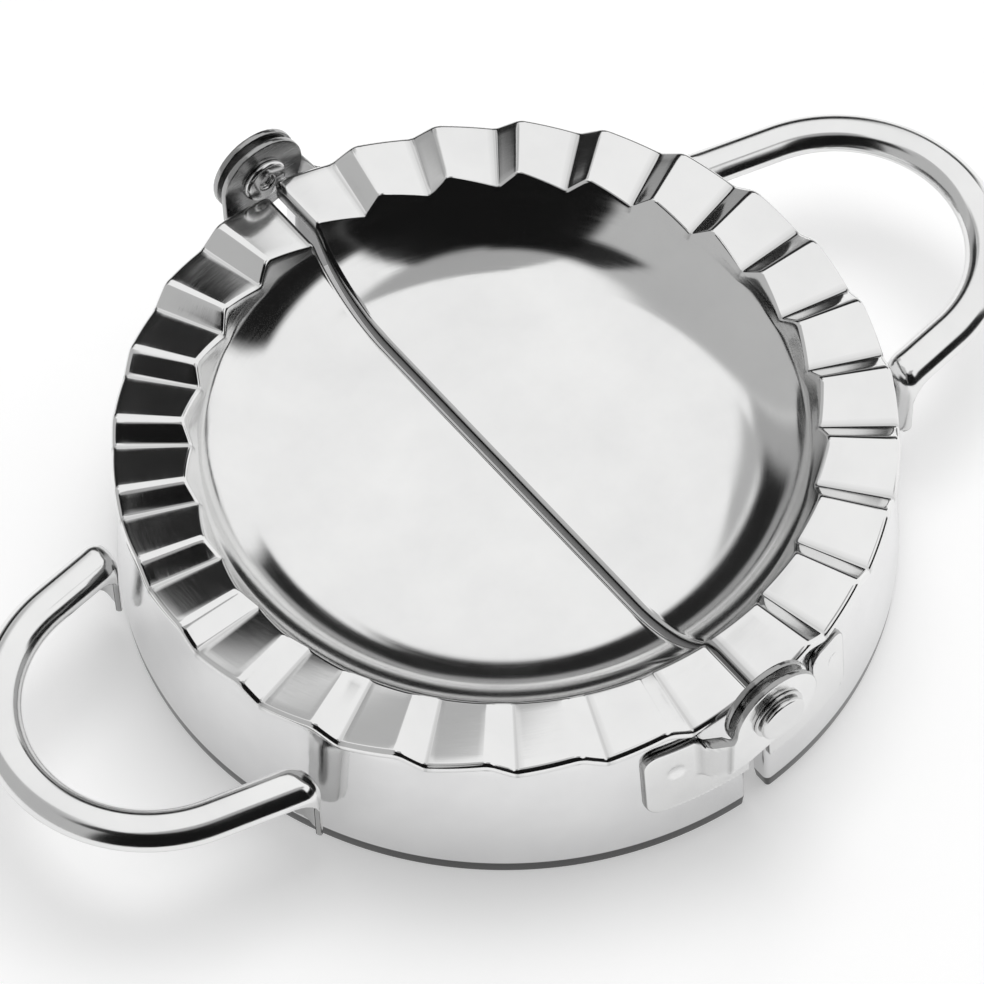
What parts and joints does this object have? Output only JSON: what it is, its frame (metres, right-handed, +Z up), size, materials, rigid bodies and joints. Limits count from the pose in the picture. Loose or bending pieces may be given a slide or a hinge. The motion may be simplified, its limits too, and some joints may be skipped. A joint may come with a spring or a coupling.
{
  "type": "empanada press",
  "caption": "Folding pastry press: two half-round dishes with pleated nesting rims on cutter skirts, joined by a riveted hinge at each end of the seam, a loop handle on each half.",
  "frame": {"origin": "on the table, under the middle of the seam between the two halves", "axes": "+X to the right half's handle, +Y along the hinge axis towards the rear rivet, +Z up, the press lying open and flat"},
  "size_m": [0.1486, 0.106, 0.0286],
  "materials": {
    "mould_steel": "bright polished stainless sheet, pressed",
    "skirt_steel": "polished stainless sheet with a fine drawn grain",
    "handle_steel": "polished stainless channel",
    "hinge_steel": "satin stainless stampings with burnished edges",
    "rivet_steel": "turned stainless, lightly scuffed",
    "washer_steel": "plain stainless, satin"
  },
  "bodies": {
    "left_half": {"left_mould": "mould_steel", "left_skirt": "skirt_steel", "left_handle": "handle_steel", "left_outer_hinge": "hinge_steel", "left_inner_hinge": "hinge_steel", "front_rivet": "rivet_steel", "front_washer": "washer_steel", "front_spacer": "washer_steel"},
    "right_half": {"right_mould": "mould_steel", "right_skirt": "skirt_steel", "right_handle": "handle_steel", "right_outer_hinge": "hinge_steel", "right_inner_hinge": "hinge_steel", "rear_rivet": "rivet_steel", "rear_washer": "washer_steel", "rear_spacer": "washer_steel"}
  },
  "joints": [
    {"name": "fold", "type": "hinge", "parent": "left_half", "child": "right_half", "pos_m": [0, 0, 0.0226], "axis": [0, -1, 0], "range_deg": [-3, 180]}
  ]
}
